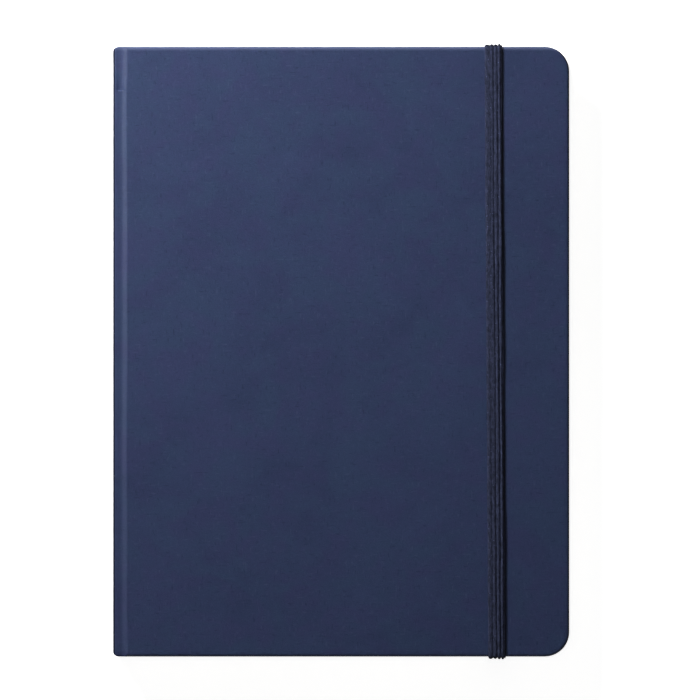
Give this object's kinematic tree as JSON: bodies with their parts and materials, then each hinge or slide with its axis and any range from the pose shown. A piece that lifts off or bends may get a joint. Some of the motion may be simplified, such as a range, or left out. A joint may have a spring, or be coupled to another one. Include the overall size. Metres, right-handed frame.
{
  "type": "pilot logbook",
  "caption": "Case-bound pilot logbook: boards in leatherette, sewn signatures, endpapers and an elastic closing band; it opens flat about two spine joints.",
  "frame": {"origin": "on the back cover's outer face, under the middle of the closed book", "axes": "+X from the spine to the fore edge, +Y from tail to head, +Z from the back cover up through the front cover"},
  "size_m": [0.19, 0.2556, 0.0182],
  "materials": {
    "cover_leatherette": "satin fine grain",
    "board": "matt",
    "endpaper": "matt",
    "page_paper": "matt",
    "kraft_liner": "matt",
    "mull_gauze": "open weave",
    "head_band_cloth": "corded",
    "sewing_thread": "twisted",
    "elastic_webbing": "ribbed"
  },
  "bodies": {
    "back_cover": {"back_board": "board", "back_wrap": "cover_leatherette", "back_joint_strip": "cover_leatherette", "back_pastedown": "endpaper", "back_flyleaf": "endpaper", "signature_07": "page_paper", "signature_08": "page_paper", "signature_09": "page_paper", "signature_10": "page_paper", "signature_11": "page_paper", "signature_12": "page_paper", "elastic_end_head": "elastic_webbing", "elastic_end_tail": "elastic_webbing"},
    "spine": {"spine_board": "board", "spine_wrap": "cover_leatherette", "front_joint_strip": "cover_leatherette", "spine_liner": "kraft_liner", "mull": "mull_gauze", "head_band": "head_band_cloth", "tail_band": "head_band_cloth", "sewing_thread": "sewing_thread"},
    "front_cover": {"front_board": "board", "front_wrap": "cover_leatherette", "front_pastedown": "endpaper"},
    "front_pages": {"front_flyleaf": "endpaper", "signature_01": "page_paper", "signature_02": "page_paper", "signature_03": "page_paper", "signature_04": "page_paper", "signature_05": "page_paper", "signature_06": "page_paper"},
    "elastic": {"elastic_band": "elastic_webbing"}
  },
  "joints": [
    {"name": "spine_fold", "type": "hinge", "parent": "back_cover", "child": "spine", "pos_m": [-0.0924, 0, 0.0032], "axis": [0, -1, 0], "range_deg": [0, 90], "deforming": ["back_joint_strip"]},
    {"name": "front_cover_turn", "type": "hinge", "parent": "spine", "child": "front_cover", "pos_m": [-0.0924, 0, 0.0142], "axis": [0, -1, 0], "range_deg": [0, 90], "deforming": ["front_joint_strip"]},
    {"name": "front_pages_turn", "type": "hinge", "parent": "spine", "child": "front_pages", "pos_m": [-0.0924, 0, 0.0142], "axis": [0, -1, 0], "range_deg": [0, 90]},
    {"name": "elastic_release", "type": "slide", "parent": "back_cover", "child": "elastic", "axis": [0, 0, -1], "range_m": [0, 0.0175], "deforming": ["elastic_band"]}
  ],
  "couplings": [
    {"joint": "front_cover_turn", "follows": "spine_fold", "ratio": 1},
    {"joint": "front_pages_turn", "follows": "spine_fold", "ratio": 1},
    {"joint": "elastic_release", "follows": "spine_fold", "m_per_rad": 0.0111}
  ]
}
